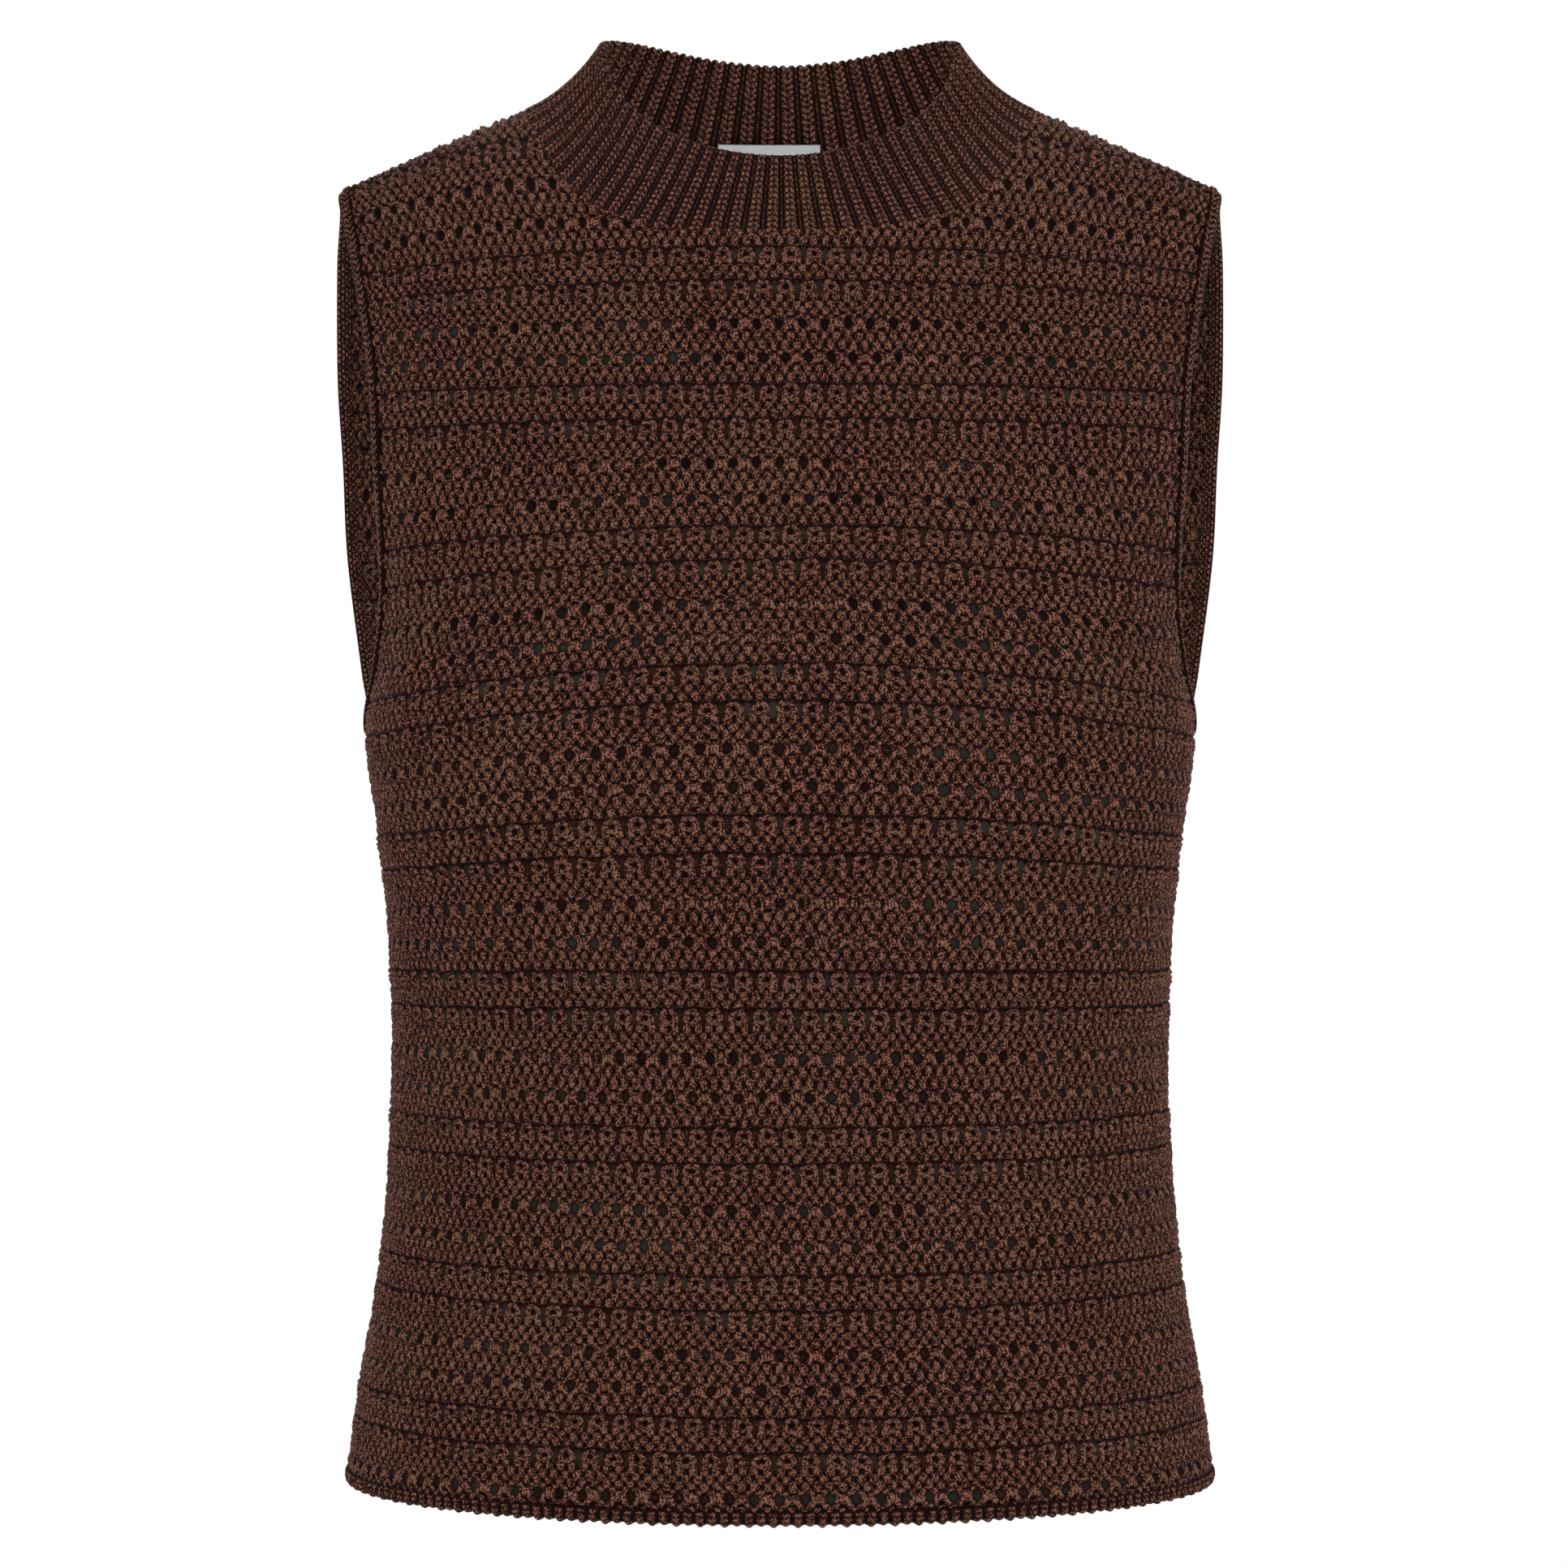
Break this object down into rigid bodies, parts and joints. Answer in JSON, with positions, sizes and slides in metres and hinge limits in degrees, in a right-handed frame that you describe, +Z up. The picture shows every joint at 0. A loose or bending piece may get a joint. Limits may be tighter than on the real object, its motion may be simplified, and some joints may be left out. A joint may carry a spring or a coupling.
{
  "type": "sleeveless mock-neck knit top",
  "caption": "Brown sleeveless knit top with a ribbed mock neck, filled out and hollow, open at the neck, armholes and hem.",
  "frame": {"origin": "midway between the two points where the shoulder seams meet the collar, where the top hangs from the wearer's shoulders", "axes": "+Z up, the front faces -Y, +X on the right of a viewer who faces the front"},
  "size_m": [0.3636, 0.2216, 0.5804],
  "materials": {
    "body_knit": "chunky openwork knit of twisted cord yarn with a slight gloss",
    "rib_knit": "dense rib knit of the same twisted cord yarn",
    "label_satin": "woven satin ribbon, blank"
  },
  "bodies": {
    "root": {"front_panel": "body_knit", "back_panel": "body_knit", "collar": "rib_knit", "armhole_trim_left": "rib_knit", "armhole_trim_right": "rib_knit", "hem_front": "rib_knit", "hem_back": "rib_knit", "neck_label": "label_satin"}
  },
  "joints": []
}
